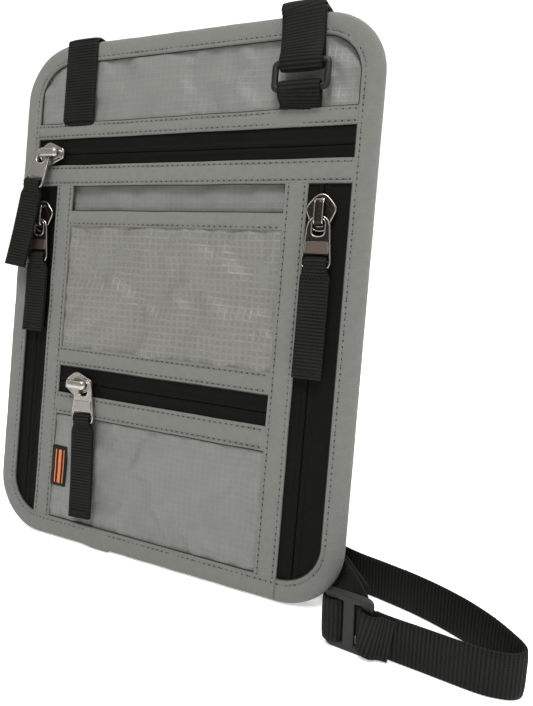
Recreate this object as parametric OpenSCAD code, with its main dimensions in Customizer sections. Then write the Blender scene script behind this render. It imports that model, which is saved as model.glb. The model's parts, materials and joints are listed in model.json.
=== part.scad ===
// Neck pouch wallet: a flat travel pouch that leans back on its own neck strap.
// The pouch is drawn upright, with its front face on the plane y = 0, and leant back as a whole.

/* [Pouch] */
// Width of the pouch over its edge binding
pouch_w = 150; // [140:1:160]
// Height of the pouch over its edge binding
pouch_h = 200; // [190:1:210]
// Thickness of the pouch over its edge binding
pouch_t = 6.8; // [6.8:0.1:8]
// Radius of the pouch's outer corners
corner_r = 22; // [18:1:26]
// Angle at which the standing pouch leans back
lean = 12.3; // [8:0.1:16]

/* [Bindings and trims] */
// Width of the tape folded over the outer edge
binding_w = 7.5; // [6:0.1:8]
// Thickness of the binding and the flat trims
tape_t = 0.8; // [0.6:0.1:0.8]

/* [Zips] */
// Thickness of the zip tape's cloth
zip_tape_t = 0.5; // [0.4:0.1:0.6]
// Gap between the two halves of a zip, in which the slider's post runs
zip_gap = 1.4; // [1.2:0.1:1.6]
// Width of each row of the zip's coil
chain_w = 1.5; // [1.2:0.1:1.8]
// Length of a slider's top plate
slider_l = 12.6; // [11:0.1:13]
// Width of a slider's top plate
slider_w = 10; // [9:0.1:10]

/* [Pulls] */
// Thickness of a metal pull
pull_t = 0.7; // [0.6:0.05:0.8]
// Width of a pull at its lower ends
pull_w = 11.2; // [10:0.1:12]
// Thickness of a webbing tab, folded double
tab_t = 1.6; // [1.4:0.1:1.8]
// Width of a webbing tab below its pull
tab_w = 10.2; // [9:0.1:10.6]

/* [Neck strap] */
// Width of the webbing
strap_w = 15; // [14:0.5:15]
// Thickness of the webbing
strap_t = 1.3; // [1:0.1:1.3]
// Distance of each strap from the pouch's middle
strap_x = 47; // [45:1:49]

/* [Hidden] */
$fn = 48;

half_w = pouch_w / 2;
inner_x = half_w - binding_w;      // the binding's inner edge
hem = 3;                           // cloth edges stop this far inside the outer edge
lap = 3.3;                         // how far cloth runs under a trim
stand_y = -24;                     // puts the middle of the pouch's depth on y = 0
edge_step = 1.4;                   // the back of the wall is set in by this much
lift = (pouch_t - edge_step) * sin(lean);

// Depths from the front face, front to back
panel_y = [0.9, 1.3];
recess_y = [1.5, 1.9];             // the panel behind the slip pocket
zip_tape_y = [0.95, 0.95 + zip_tape_t];
chain_y = [1.45, 2.5];
front_lining_y = [3.75, 4.05];
divider_y = [4.25, 4.55];
back_lining_y = [4.75, 5.05];
back_panel_y = [5.2, 5.85];
back_leg_y = [pouch_t - tape_t, pouch_t];

// Heights of the horizontal bands, bottom to top
bottom_z = binding_w;
lower_low_trim_z = [50, 58.7];
lower_high_trim_z = [69.8, 77.6];
slip_trim_z = [126.6, 132.7];
top_low_trim_z = [142.8, 151.1];
top_high_trim_z = [162.1, 168.2];
// Sides of the upright bands, left to right
left_trim_x = [-56.1, -48];
right_trim_x = [44.1, 52.5];
// Where each zip's halves meet
top_seam_z = 155.6;
lower_seam_z = 63.4;
left_seam_x = -61.6;
right_seam_x = 58;

// Slider plates and the bridge that holds the pull
plate_y = [-1.2, -0.3];
under_plate_y = [2.8, 3.4];
bridge_top_y = -4.2;
bridge_under_y = -3.2;
bridge_half = 4;
bridge_w = 1.6;
leg_t = 1.2;
leg_mid = bridge_half - leg_t / 2;
post_w = 0.7;
pull_y = (plate_y[0] + bridge_under_y) / 2;
// The pull, measured down from the middle of its eye's upper rim
rim_half = 0.55;
eye_r = 4.2;
hole_r = 1.8;
hole_l = 5;
rim_above_leg = 1.1;
plate_foot = -12.2;
pull_foot = -16.8;
prong_t = 1;
bar_z = -14.6;
bar_r = 0.5;
tab_neck = 4.3;                    // half the tab's width between the prongs
tab_loop_r = 1.6;
// Where the sliders stand, and how their pulls hang
top_slider_x = -59.2;
lower_slider_x = -36.5;
left_slider_z = 130;
right_slider_z = 132.6;
top_swing = 7;
top_pull_out = 12;
top_tab_out = 4;
lower_swing = -3;
leg_to_rim = 1.95;                 // sideways-running sliders: leg's middle to rim's middle
left_tab_l = 31;
right_tab_l = 39;
lower_tab_l = 39.5;
top_tab_l = 35;

// Ring and its folded straps
ring_y = -3.3;
ring_top_z = 182.4;
ring_low_z = 173.8;
ring_bar_r = 1.1;
ring_in_w = 16.2;
// Slide on the strap's front run
slide_at = [81, -33.4, 10];
slide_turn = -4.6;
slide_l = 14;
slide_h = 20;
slide_t = 2;
slide_bar = 2.4;

// The strap's route. Rows on the pouch are [depth, height] before the pouch is leant back.
left_on_pouch = [[-0.9, 168.6], [-0.9, 184], [-0.9, 198.5], [-0.75, 200.2], [-0.1, 201], [1.2, 201.4],
  [3.4, 201.4], [6.6, 200.9], [8, 198]];
right_on_pouch = [[8.6, 198.2], [7.6, 201.4], [4, 202.4], [0.8, 202.1], [-0.5, 201.2], [-0.9, 199.4],
  [-0.9, 191], [-0.9, 182.6], [-1.6, 180.7], [-3.3, 180]];
// Rows behind the pouch and on the floor are [x, y, z, then the direction of the webbing's width].
floor_run = [
  [-47, 26.4, 178, 1, 0, 0], [-47, 28.4, 140, 1, 0, 0], [-47, 29.6, 100, 1, 0.4, 0],
  [-47, 30, 68, 1, 1, 0], [-47, 30, 42, 0, 1, 0], [-46, 30, 26, 0, 1, 0], [-42, 30, 12, 0, 1, 0],
  [-34, 30, 3.2, 0, 1, 0], [-24, 30, 1.2, 0, 1, 0], [-13, 30, 4.1, 0, 1, 0.5], [-2, 30.5, 7.6, 0, 0.5, 1],
  [9, 31, 7.6, 0, 0, 1], [23, 30, 7.6, 0, 0, 1], [36, 26, 7.6, 0, 0, 1], [47, 19.5, 7.6, 0, 0, 1],
  [56, 10.5, 7.6, 0, 0, 1], [63, 2, 7.6, 0, 0, 1], [69, -3, 7.6, 0, 0, 1], [77, -6, 7.6, 0, 0, 1],
  [87, -8, 7.6, 0, 0, 1], [97, -10.2, 7.6, 0, 0, 1], [106, -13, 7.6, 0, 0, 1], [114, -16.4, 7.6, 0, 0, 1],
  [121, -20.6, 7.6, 0, 0, 1], [126, -24.8, 7.6, 0, 0, 1], [129, -28, 7.6, 0, 0, 1],
  [129.6, -30.4, 7.6, 0, 0, 1], [128, -32.4, 7.6, 0, 0, 1], [124.4, -33.7, 7.6, 0, 0, 1],
  [118, -34.3, 7.6, 0, 0, 1], [104, -33.2, 7.6, 0, 0, 1], [90, -32.1, 7.8, 0, 0, 1],
  [86, -30.6, 8.4, 0, 0, 1], [82, -26.8, 9.2, 0.2, 0.2, 1], [75.6, -19.4, 9.6, 0.25, 0.3, 0.9],
  [69.5, -12.8, 9.6, 0.25, 0.3, 0.9], [62, -8.5, 8.6, 0.1, 0.2, 1], [54, -5.6, 8, 0, 0.6, 0.9],
  [46, -3.8, 6, 0, 1, 0.5], [38, -2.6, 3, 0, 1, 0], [30.5, -2, 5.6, 0, 1, 0], [26.5, -1.2, 14, 0, 1, 0],
  [25.5, 0, 27, 0, 1, 0], [27, 3, 45, 0.3, 1, 0], [31, 7, 68, 1, 1, 0], [36, 12, 98, 1, 0.4, 0],
  [41, 17.4, 130, 1, 0, 0], [45, 22.6, 162, 1, 0, 0], [47, 25.8, 182, 1, 0, 0]];
// The second layer of webbing runs beside the first one from the ring back to the slide.
return_from = 34;                  // the row of floor_run where the two layers part
layer_gap = 1.9;
return_on_pouch = [[-5, 180.7], [-5.7, 182.8], [-4.9, 186], [-3.6, 190.5], [-2.9, 195], [-2.85, 199.6],
  [-2.2, 202.2], [-0.3, 203.8], [4, 204.3], [8.3, 203.4], [10.2, 200.4], [10.4, 198.2]];

function unit(v) = v / norm(v);
// A point of the upright pouch, after the pouch is leant back and stood on the floor.
function leant(p) = [p.x, p.y * cos(lean) + p.z * sin(lean) + stand_y,
  -p.y * sin(lean) + p.z * cos(lean) + lift];
function on_pouch(rows, x) = [for (r = rows) [each leant([x, r[0], r[1]]), 1, 0, 0]];
function place(row) = [row[0], row[1], row[2]];
function across(row) = [row[3], row[4], row[5]];
function along(rows, i) =
  unit(place(rows[min(i + 1, len(rows) - 1)]) - place(rows[max(i - 1, 0)]));
function width_dir(rows, i) =
  let (t = along(rows, i), w = across(rows[i])) unit(w - (w * t) * t);
function face_dir(rows, i) = cross(along(rows, i), width_dir(rows, i));
function beside(rows, gap) =
  [for (i = [0:len(rows) - 1]) [each (place(rows[i]) + gap * face_dir(rows, i)), each across(rows[i])]];

// Adds a row halfway wherever the webbing twists
function finer(rows) = [for (i = [0:len(rows) - 1]) each
  (i == 0 || norm(unit(across(rows[i])) - unit(across(rows[i - 1]))) < 0.2 ? [rows[i]]
    : [[each (place(rows[i]) + place(rows[i - 1])) / 2,
        each (unit(across(rows[i])) + unit(across(rows[i - 1])))], rows[i]])];

main_route = finer(finer(concat(on_pouch(left_on_pouch, -strap_x), floor_run,
  on_pouch(right_on_pouch, strap_x))));
shared_rows = [for (i = [return_from:len(floor_run) - 1]) floor_run[i]];
return_rows = on_pouch(return_on_pouch, strap_x);
return_route = finer(finer(concat([[83.4, -25.4, 9.4, 0.2, 0.2, 1]], beside(shared_rows, layer_gap),
  [for (i = [len(return_rows) - 1:-1:0]) return_rows[i]])));

// Upright pouch to standing pouch
module stand() {
  translate([0, stand_y, lift]) rotate([-lean, 0, 0]) children();
}

// A flat outline, drawn as width and height, given its depth from y0 to y1
module slab(y) {
  translate([0, y[1], 0]) rotate([90, 0, 0]) linear_extrude(y[1] - y[0]) children();
}

module span(x, z) {
  translate([x[0], z[0]]) square([x[1] - x[0], z[1] - z[0]]);
}

// The pouch's outline, drawn in by the inset
module outline(inset) {
  r = corner_r - inset;
  span([-half_w + corner_r, half_w - corner_r], [inset, pouch_h - inset]);
  span([-half_w + inset, half_w - inset], [corner_r, pouch_h - corner_r]);
  for (x = [-half_w + corner_r, half_w - corner_r], z = [corner_r, pouch_h - corner_r])
    translate([x, z]) circle(r);
}

module full_sheet(y) {
  stand() slab(y) outline(hem);
}

module patch(x, z, y = panel_y) {
  stand() slab(y) intersection() {
    outline(hem);
    span(x, z);
  }
}

// Outer and lining sheets
module back_panel() { color("dimgray") full_sheet(back_panel_y); }
module back_lining() { color("silver") full_sheet(back_lining_y); }
module main_divider() { color("gray") full_sheet(divider_y); }
module front_lining() { color("silver") full_sheet(front_lining_y); }

cloth_x = [left_trim_x[1] - lap - 1, right_trim_x[0] + lap + 1];
module top_panel() { color("gray") patch([-half_w, half_w], [165.1, pouch_h]); }
module centre_back_panel() {
  color("gray") patch(cloth_x, [73, top_low_trim_z[0] + lap + 1], recess_y);
}
module slip_pocket_panel() {
  color("darkgray") patch(cloth_x, [72.6, slip_trim_z[0] + lap], [0.9, 1.2]);
}
module lower_pocket_panel() { color("gray") patch(cloth_x, [hem, lower_low_trim_z[0] + lap]); }

// Tape folded over the whole outer edge: a front leg, a wall and a back leg
module edge_binding() {
  color("dimgray") stand() {
    slab([0, tape_t]) difference() {
      outline(0);
      outline(binding_w);
    }
    slab([tape_t, pouch_t - edge_step]) difference() {
      outline(0);
      outline(edge_step + tape_t);
    }
    slab([pouch_t - edge_step, pouch_t]) difference() {
      outline(edge_step);
      outline(edge_step + tape_t);
    }
    slab(back_leg_y) difference() {
      outline(edge_step);
      outline(binding_w);
    }
  }
}

// Flat trims beside the zips
trim_inner_x = [left_trim_x[1] + 0.05, right_trim_x[0] - 0.05];
module trim(x, z, y = [0, tape_t]) { color("slategray") stand() slab(y) span(x, z); }
module top_zip_upper_trim() { trim([-inner_x + 0.1, inner_x - 0.1], top_high_trim_z); }
module top_zip_lower_trim() { trim([-inner_x + 0.1, inner_x - 0.1], top_low_trim_z); }
module left_zip_trim() { trim(left_trim_x, [bottom_z + 0.1, top_low_trim_z[0] - 0.1]); }
module right_zip_trim() { trim(right_trim_x, [bottom_z + 0.1, top_low_trim_z[0] - 0.1]); }
module slip_pocket_trim() { trim(trim_inner_x, slip_trim_z); }
module lower_zip_upper_trim() { trim(trim_inner_x, lower_high_trim_z); }
module lower_zip_lower_trim() { trim(trim_inner_x, lower_low_trim_z); }

// Zips. Each half is a strip of tape with a row of coil behind its inner edge.
module two_halves(x, z, seam, upright, y) {
  half_gap = zip_gap / 2;
  color("black") {
    if (upright) {
      patch([x[0], seam - half_gap], z, y);
      patch([seam + half_gap, x[1]], z, y);
    } else {
      patch(x, [z[0], seam - half_gap], y);
      patch(x, [seam + half_gap, z[1]], y);
    }
  }
}
module two_rows(run, seam, upright) {
  out = zip_gap / 2 + chain_w;
  if (upright) two_halves([seam - out, seam + out], run, seam, true, chain_y);
  else two_halves(run, [seam - out, seam + out], seam, false, chain_y);
}
top_tape_z = [top_low_trim_z[1] - lap, top_high_trim_z[0] + 2.8];
left_tape_x = [-half_w, left_trim_x[0] + lap];
right_tape_x = [right_trim_x[1] - lap, half_w];
side_tape_z = [0, top_tape_z[0] - 0.4];
lower_tape_z = [lower_low_trim_z[1] - lap + 0.1, lower_high_trim_z[0] + 2.6];
lower_tape_x = [left_tape_x[1] + 0.4, right_tape_x[0] - 0.4];
module top_zip_tape() { two_halves([-half_w, half_w], top_tape_z, top_seam_z, false, zip_tape_y); }
module left_zip_tape() { two_halves(left_tape_x, side_tape_z, left_seam_x, true, zip_tape_y); }
module right_zip_tape() { two_halves(right_tape_x, side_tape_z, right_seam_x, true, zip_tape_y); }
module lower_zip_tape() { two_halves(lower_tape_x, lower_tape_z, lower_seam_z, false, zip_tape_y); }

top_run = [-inner_x, inner_x];
side_run = [12, 141];
lower_run = [left_trim_x[1] - 1, right_trim_x[0] + 1];
module top_zip_chain() { two_rows(top_run, top_seam_z, false); }
module left_zip_chain() { two_rows(side_run, left_seam_x, true); }
module right_zip_chain() { two_rows(side_run, right_seam_x, true); }
module lower_zip_chain() { two_rows(lower_run, lower_seam_z, false); }

// A metal stop just past each end of every chain
stop_l = 1.6;
module stop(x, z, upright) {
  size = upright ? [2 * chain_w + zip_gap, stop_l] : [stop_l, 2 * chain_w + zip_gap];
  slab(chain_y) translate([x, z]) square(size, center = true);
}
module zip_end_stops() {
  past = stop_l / 2 + 0.1;
  color("silver") stand() {
    for (x = [top_run[0] - past, top_run[1] + past]) stop(x, top_seam_z, false);
    for (x = [lower_run[0] - past, lower_run[1] + past]) stop(x, lower_seam_z, false);
    for (x = [left_seam_x, right_seam_x], z = [side_run[0] - past, side_run[1] + past]) stop(x, z, true);
  }
}

// Woven label sewn into the left trim's inner edge, lying on the lower pocket
module side_label() {
  color("black") stand() slab([0.3, 0.85]) span([left_trim_x[1] + 0.05, left_trim_x[1] + 7], [20.5, 37]);
}

// Slider, drawn running upright with its nose up, centred on its own middle
module leaf(l, w) {
  r = (l * l + w * w) / (4 * w);
  intersection() {
    translate([r - w / 2, 0]) circle(r, $fn = 96);
    translate([w / 2 - r, 0]) circle(r, $fn = 96);
  }
}
module slider_shape() {
  slab(plate_y) leaf(slider_l, slider_w);
  slab(under_plate_y) leaf(slider_l - 1.6, slider_w - 2);
  slab([plate_y[1], under_plate_y[0]]) translate([-post_w / 2, 1.5]) square([post_w, 3]);
  difference() {
    translate([-bridge_w / 2, bridge_top_y, -bridge_half])
      cube([bridge_w, plate_y[0] - bridge_top_y, 2 * bridge_half]);
    translate([-bridge_w, bridge_under_y, -bridge_half + leg_t])
      cube([2 * bridge_w, 5, 2 * (bridge_half - leg_t)]);
  }
}
module upright_slider(x, z) { stand() translate([x, 0, z]) slider_shape(); }
module sideways_slider(x, z) { stand() translate([x, 0, z]) rotate([0, -90, 0]) slider_shape(); }
module top_slider() { color("gainsboro") sideways_slider(top_slider_x, top_seam_z); }
module left_slider() { color("darkslategray") upright_slider(left_seam_x, left_slider_z); }
module right_slider() { color("dimgray") upright_slider(right_seam_x, right_slider_z); }
module lower_slider() { color("gainsboro") sideways_slider(lower_slider_x, lower_seam_z); }

// Pull: an eye, a cross plate and two prongs with a bar between them
module pull_shape() {
  hole_z = -rim_half - hole_r;
  slab([-pull_t / 2, pull_t / 2]) difference() {
    union() {
      translate([0, rim_half - eye_r]) circle(eye_r);
      polygon([[-eye_r, rim_half - eye_r], [eye_r, rim_half - eye_r], [pull_w / 2, pull_foot],
        [-pull_w / 2, pull_foot]]);
    }
    translate([0, hole_z]) circle(hole_r);
    translate([0, hole_z - hole_l + 2 * hole_r]) circle(hole_r);
    span([-hole_r, hole_r], [hole_z - hole_l + 2 * hole_r, hole_z]);
    span([-pull_w / 2 + prong_t, pull_w / 2 - prong_t], [pull_foot - 1, plate_foot]);
  }
  translate([0, 0, bar_z]) rotate([0, 90, 0])
    cylinder(r = bar_r, h = pull_w - prong_t - 0.6, center = true);
}
// Folded webbing tab, drawn hanging from the pull's bar
module tab_shape(l) {
  rotate([0, 90, 0]) difference() {
    cylinder(r = tab_loop_r, h = 2 * tab_neck, center = true);
    cylinder(r = bar_r + 0.3, h = 20, center = true);
  }
  slab([-tab_t / 2, tab_t / 2]) polygon([[-tab_neck, -1.3], [tab_neck, -1.3], [tab_neck, -2.9],
    [tab_w / 2, -4.4], [tab_w / 2, -l], [-tab_w / 2, -l], [-tab_w / 2, -4.4], [-tab_neck, -2.9]]);
}

// Places a pull or tab on an upright slider: the rim hangs in the bridge above its lower leg
module hang_upright(x, z) {
  stand() translate([x, pull_y, z - bridge_half + leg_t + rim_above_leg]) children();
}
// Places them on a sideways slider: the eye goes round one leg and the pull hangs across the zip
module hang_sideways(x, z, swing, out) {
  stand() translate([x, pull_y, z]) rotate([0, swing, 0]) rotate([-out, 0, 0])
    translate([0, 0, leg_to_rim]) children();
}
module top_hang() { hang_sideways(top_slider_x - leg_mid, top_seam_z, top_swing, top_pull_out) children(); }
module lower_hang() { hang_sideways(lower_slider_x + leg_mid, lower_seam_z, lower_swing, 0) children(); }
module top_pull() { color("gainsboro") top_hang() pull_shape(); }
module left_pull() { color("darkslategray") hang_upright(left_seam_x, left_slider_z) pull_shape(); }
module right_pull() { color("dimgray") hang_upright(right_seam_x, right_slider_z) pull_shape(); }
module lower_pull() { color("gainsboro") lower_hang() pull_shape(); }
module top_pull_tab() {
  color("black") top_hang() translate([0, 0, bar_z]) rotate([top_pull_out - top_tab_out, 0, 0])
    tab_shape(top_tab_l);
}
module left_pull_tab() {
  color("black") hang_upright(left_seam_x, left_slider_z) translate([0, 0, bar_z]) tab_shape(left_tab_l);
}
module right_pull_tab() {
  color("black") hang_upright(right_seam_x, right_slider_z) translate([0, 0, bar_z]) tab_shape(right_tab_l);
}
module lower_pull_tab() { color("black") lower_hang() translate([0, 0, bar_z]) tab_shape(lower_tab_l); }

// Rectangular ring: two round bars and two flat sides
module strap_ring() {
  ring_mid = (ring_top_z + ring_low_z) / 2;
  side_h = ring_top_z - ring_low_z + 2 * ring_bar_r;
  color("black") stand() translate([strap_x, ring_y, 0]) {
    for (z = [ring_low_z, ring_top_z])
      translate([0, 0, z]) rotate([0, 90, 0]) cylinder(r = ring_bar_r, h = ring_in_w + 1, center = true);
    for (side = [-1, 1])
      translate([side * (ring_in_w / 2 + 1), 0, ring_mid])
        cube([2, 2 * ring_bar_r, side_h], center = true);
  }
}
// Webbing folded round the ring's lower bar, its foot sewn under the trim
module ring_tab() {
  foot_z = top_high_trim_z[1];
  inner_r = ring_bar_r + 0.15;
  outer_r = inner_r + strap_t;
  color("black") stand() translate([strap_x, 0, 0]) {
    difference() {
      translate([0, ring_y, ring_low_z]) rotate([0, 90, 0]) cylinder(r = outer_r, h = strap_w, center = true);
      translate([0, ring_y, ring_low_z]) rotate([0, 90, 0]) cylinder(r = inner_r, h = 30, center = true);
      translate([-20, ring_y - 10, ring_low_z - 20]) cube([40, 20, 20]);
    }
    for (y = [ring_y - outer_r, ring_y + inner_r])
      translate([-strap_w / 2, y, foot_z + 0.3]) cube([strap_w, strap_t, ring_low_z - foot_z - 0.3]);
    translate([-strap_w / 2, ring_y - outer_r, foot_z + 0.3])
      cube([strap_w, panel_y[0] - ring_y + outer_r - 0.1, 1.2]);
  }
}
// The left strap's end, tucked and sewn above the trim
module strap_sewn_end() {
  color("black") stand() translate([-strap_x - strap_w / 2, -0.9 - strap_t / 2, top_high_trim_z[1] + 0.05])
    cube([strap_w, 1.65 + strap_t / 2, 0.3]);
}

// Slide: three upright bars in a frame, with the strap lapped over the middle one
module at_slide() { translate(slide_at) rotate([0, 0, slide_turn]) children(); }
module strap_slide() {
  slot_l = (slide_l - 3 * slide_bar) / 2;
  color("black") at_slide() difference() {
    cube([slide_l, slide_t, slide_h], center = true);
    for (side = [-1, 1])
      translate([side * (slide_bar + slot_l) / 2, 0, 0]) cube([slot_l, 10, slide_h - 4], center = true);
  }
}
module strap_slide_wrap() {
  color("black") at_slide() difference() {
    translate([0, -0.9, 0]) cube([slide_bar + 2.6, slide_t + 1.4, strap_w], center = true);
    cube([slide_bar + 0.1, slide_t + 0.1, slide_h], center = true);
  }
}

// Webbing swept along a route
module webbing(rows) {
  bevel = 0.35;
  section = [[-strap_w / 2, -strap_t / 2 + bevel], [-strap_w / 2 + bevel, -strap_t / 2],
    [strap_w / 2 - bevel, -strap_t / 2], [strap_w / 2, -strap_t / 2 + bevel],
    [strap_w / 2, strap_t / 2 - bevel], [strap_w / 2 - bevel, strap_t / 2],
    [-strap_w / 2 + bevel, strap_t / 2], [-strap_w / 2, strap_t / 2 - bevel]];
  sides = len(section);
  rings = len(rows);
  points = [for (i = [0:rings - 1], s = section)
    place(rows[i]) + s[0] * width_dir(rows, i) + s[1] * face_dir(rows, i)];
  // Each wall is split along the same diagonal on both faces, so that a twist keeps its thickness
  walls = [for (i = [0:rings - 2], k = [0:sides - 1])
    let (a = i * sides + k, b = i * sides + (k + 1) % sides, c = b + sides, d = a + sides)
      each (k < sides / 2 ? [[a, b, c], [a, c, d]] : [[a, b, d], [b, c, d]])];
  first = [for (k = [sides - 1:-1:0]) k];
  last = [for (k = [0:sides - 1]) (rings - 1) * sides + k];
  polyhedron(points, concat(walls, [first, last]), convexity = 10);
}
module neck_strap() { color("black") webbing(main_route); }
module neck_strap_return() { color("black") webbing(return_route); }

back_panel();
back_lining();
main_divider();
front_lining();
top_panel();
centre_back_panel();
slip_pocket_panel();
lower_pocket_panel();
edge_binding();
top_zip_upper_trim();
top_zip_lower_trim();
left_zip_trim();
right_zip_trim();
slip_pocket_trim();
lower_zip_upper_trim();
lower_zip_lower_trim();
top_zip_tape();
left_zip_tape();
right_zip_tape();
lower_zip_tape();
top_zip_chain();
left_zip_chain();
right_zip_chain();
lower_zip_chain();
zip_end_stops();
side_label();
top_slider();
left_slider();
right_slider();
lower_slider();
top_pull();
left_pull();
right_pull();
lower_pull();
top_pull_tab();
left_pull_tab();
right_pull_tab();
lower_pull_tab();
strap_ring();
ring_tab();
strap_sewn_end();
strap_slide();
strap_slide_wrap();
neck_strap();
neck_strap_return();
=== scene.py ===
# Neck pouch wallet: a flat zipped travel pouch that leans back on its own webbing strap.
# Pieces on the pouch are drawn upright in millimetres (x along the width, y in depth with the
# front face at 0, z up) and leant back by STAND. Everything else is in millimetres on the floor.
import json
import math

import bpy
from mathutils import Matrix, Vector, noise


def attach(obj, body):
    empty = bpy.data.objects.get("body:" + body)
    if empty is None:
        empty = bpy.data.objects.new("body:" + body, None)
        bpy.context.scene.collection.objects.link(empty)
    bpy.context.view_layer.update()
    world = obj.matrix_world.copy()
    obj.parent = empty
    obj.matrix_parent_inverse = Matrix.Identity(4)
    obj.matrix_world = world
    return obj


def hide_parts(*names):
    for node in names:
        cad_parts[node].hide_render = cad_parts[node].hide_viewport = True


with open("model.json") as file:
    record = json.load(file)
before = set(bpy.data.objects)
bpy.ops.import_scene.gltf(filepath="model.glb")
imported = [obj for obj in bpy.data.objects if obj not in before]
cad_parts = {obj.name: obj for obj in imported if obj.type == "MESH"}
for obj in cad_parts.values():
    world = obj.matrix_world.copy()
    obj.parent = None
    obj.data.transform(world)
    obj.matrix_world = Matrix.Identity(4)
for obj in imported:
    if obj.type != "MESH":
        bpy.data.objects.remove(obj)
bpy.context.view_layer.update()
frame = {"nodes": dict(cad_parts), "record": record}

# ------------------------ sizes, as in the CAD, in mm
MM = 0.001
LEAN = math.radians(12.3)
STAND_Y = -24.0
LIFT = 5.4 * math.sin(LEAN)
POUCH_W, POUCH_H, CORNER_R = 150.0, 200.0, 22.0
BINDING_W = 7.5
INNER_X = POUCH_W / 2 - BINDING_W
TRIM_Z = {
    "top_zip_upper_trim": (162.1, 168.2),
    "top_zip_lower_trim": (142.8, 151.1),
    "slip_pocket_trim": (126.6, 132.7),
    "lower_zip_upper_trim": (69.8, 77.6),
    "lower_zip_lower_trim": (50.0, 58.7),
}
LEFT_TRIM_X, RIGHT_TRIM_X = (-56.1, -48.0), (44.1, 52.5)
TOP_SEAM_Z, LOWER_SEAM_Z, LEFT_SEAM_X, RIGHT_SEAM_X = 155.6, 63.4, -61.6, 58.0
PULL_Y = -2.2
BAR_Z = -14.6
STRAP_W, STRAP_T, STRAP_X = 15.0, 1.3, 47.0
RIB = 1.15              # pitch of the webbing's ribs
SLIDE_AT, SLIDE_TURN = (81.0, -33.4, 10.0), math.radians(-4.6)

WORLD = Matrix.Scale(MM, 4)
STAND = WORLD @ Matrix.Translation((0, STAND_Y, LIFT)) @ Matrix.Rotation(-LEAN, 4, "X")


def smooth(a, b, x):
    t = min(max((x - a) / (b - a), 0.0), 1.0)
    return t * t * (3 - 2 * t)


def bump_at(d, width):
    return math.exp(-((d / width) ** 2))


# ------------------------ materials
class Shader:
    """A Principled material and the few node calls that the weaves need."""

    def __init__(self, name, colour, roughness, metallic=0.0, sheen=0.0, specular=0.5):
        self.material = bpy.data.materials.new(name)
        self.material.use_nodes = True
        self.tree = self.material.node_tree
        self.surface = self.tree.nodes["Principled BSDF"]
        self.colour = colour
        for socket, value in {
            "Base Color": (*colour, 1),
            "Roughness": roughness,
            "Metallic": metallic,
            "Sheen Weight": sheen,
            "Specular IOR Level": specular,
        }.items():
            self.surface.inputs[socket].default_value = value

    def node(self, kind, **settings):
        made = self.tree.nodes.new(kind)
        for key, value in settings.items():
            setattr(made, key, value)
        return made

    def link(self, source, target):
        if isinstance(source, (int, float)):
            target.default_value = source
        else:
            self.tree.links.new(source, target)

    def maths(self, operation, a, b=0.0):
        made = self.node("ShaderNodeMath", operation=operation)
        self.link(a, made.inputs[0])
        self.link(b, made.inputs[1])
        return made.outputs[0]

    def cloth_uv(self):
        """Millimetres across and along the piece, from its own UV map."""
        split = self.node("ShaderNodeSeparateXYZ")
        self.link(self.node("ShaderNodeUVMap", uv_map="Cloth").outputs[0], split.inputs[0])
        return [self.maths("MULTIPLY", split.outputs[i], 100.0) for i in (0, 1)]

    def wave(self, value, pitch):
        """0 to 1 and back once every pitch."""
        turned = self.maths("SINE", self.maths("MULTIPLY", value, 2 * math.pi / pitch))
        return self.maths("ADD", self.maths("MULTIPLY", turned, 0.5), 0.5)

    def mottle(self, size_mm, detail=3.0):
        place = self.node("ShaderNodeTexCoord")
        cloud = self.node("ShaderNodeTexNoise")
        cloud.inputs["Scale"].default_value = 1000.0 / size_mm
        cloud.inputs["Detail"].default_value = detail
        self.link(place.outputs["Object"], cloud.inputs["Vector"])
        return cloud.outputs["Fac"]

    def tint(self, factor, dark, light):
        """The base colour runs from dark to light shares of the material's own."""
        ramp = self.node("ShaderNodeMix", data_type="RGBA")
        ramp.inputs[6].default_value = (*[c * dark for c in self.colour], 1)
        ramp.inputs[7].default_value = (*[c * light for c in self.colour], 1)
        self.link(factor, ramp.inputs[0])
        self.link(ramp.outputs[2], self.surface.inputs["Base Color"])

    def rough(self, factor, low, high):
        spread = self.maths("ADD", self.maths("MULTIPLY", factor, high - low), low)
        self.link(spread, self.surface.inputs["Roughness"])

    def relief(self, *layers):
        """Layers of (height, depth in mm), stacked."""
        normal = None
        for height, depth in layers:
            bump = self.node("ShaderNodeBump")
            bump.inputs["Strength"].default_value = 1.0
            bump.inputs["Distance"].default_value = depth * MM
            self.link(height, bump.inputs["Height"])
            if normal is not None:
                self.link(normal, bump.inputs["Normal"])
            normal = bump.outputs[0]
        self.link(normal, self.surface.inputs["Normal"])


def ripstop(name, colour, roughness, pitch, grid_sheen, sheen, depth=0.11):
    """Plain woven nylon with a square grid of thicker yarns, whose lighter tint is a painted sheen."""
    s = Shader(name, colour, roughness, sheen=sheen, specular=0.35)
    across, along = s.cloth_uv()
    lines = [s.maths("POWER", s.wave(v, pitch), 5.0) for v in (across, along)]
    grid = s.maths("MAXIMUM", *lines)
    weave = s.maths("MULTIPLY", s.wave(across, 0.42), s.wave(along, 0.42))
    cloud = s.mottle(9.0)
    # The grid yarns are tinted lighter: painted sheen, mixed with a random mottle of the cloth's own
    # tone.
    sheen_and_mottle = s.maths("ADD", s.maths("MULTIPLY", grid, grid_sheen), s.maths("MULTIPLY", cloud, 0.7))
    s.tint(sheen_and_mottle, 0.86, 1.2)
    s.rough(grid, roughness + 0.04, roughness - 0.12)
    s.relief((grid, depth), (weave, 0.04), (cloud, 0.25))
    return s.material


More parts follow.
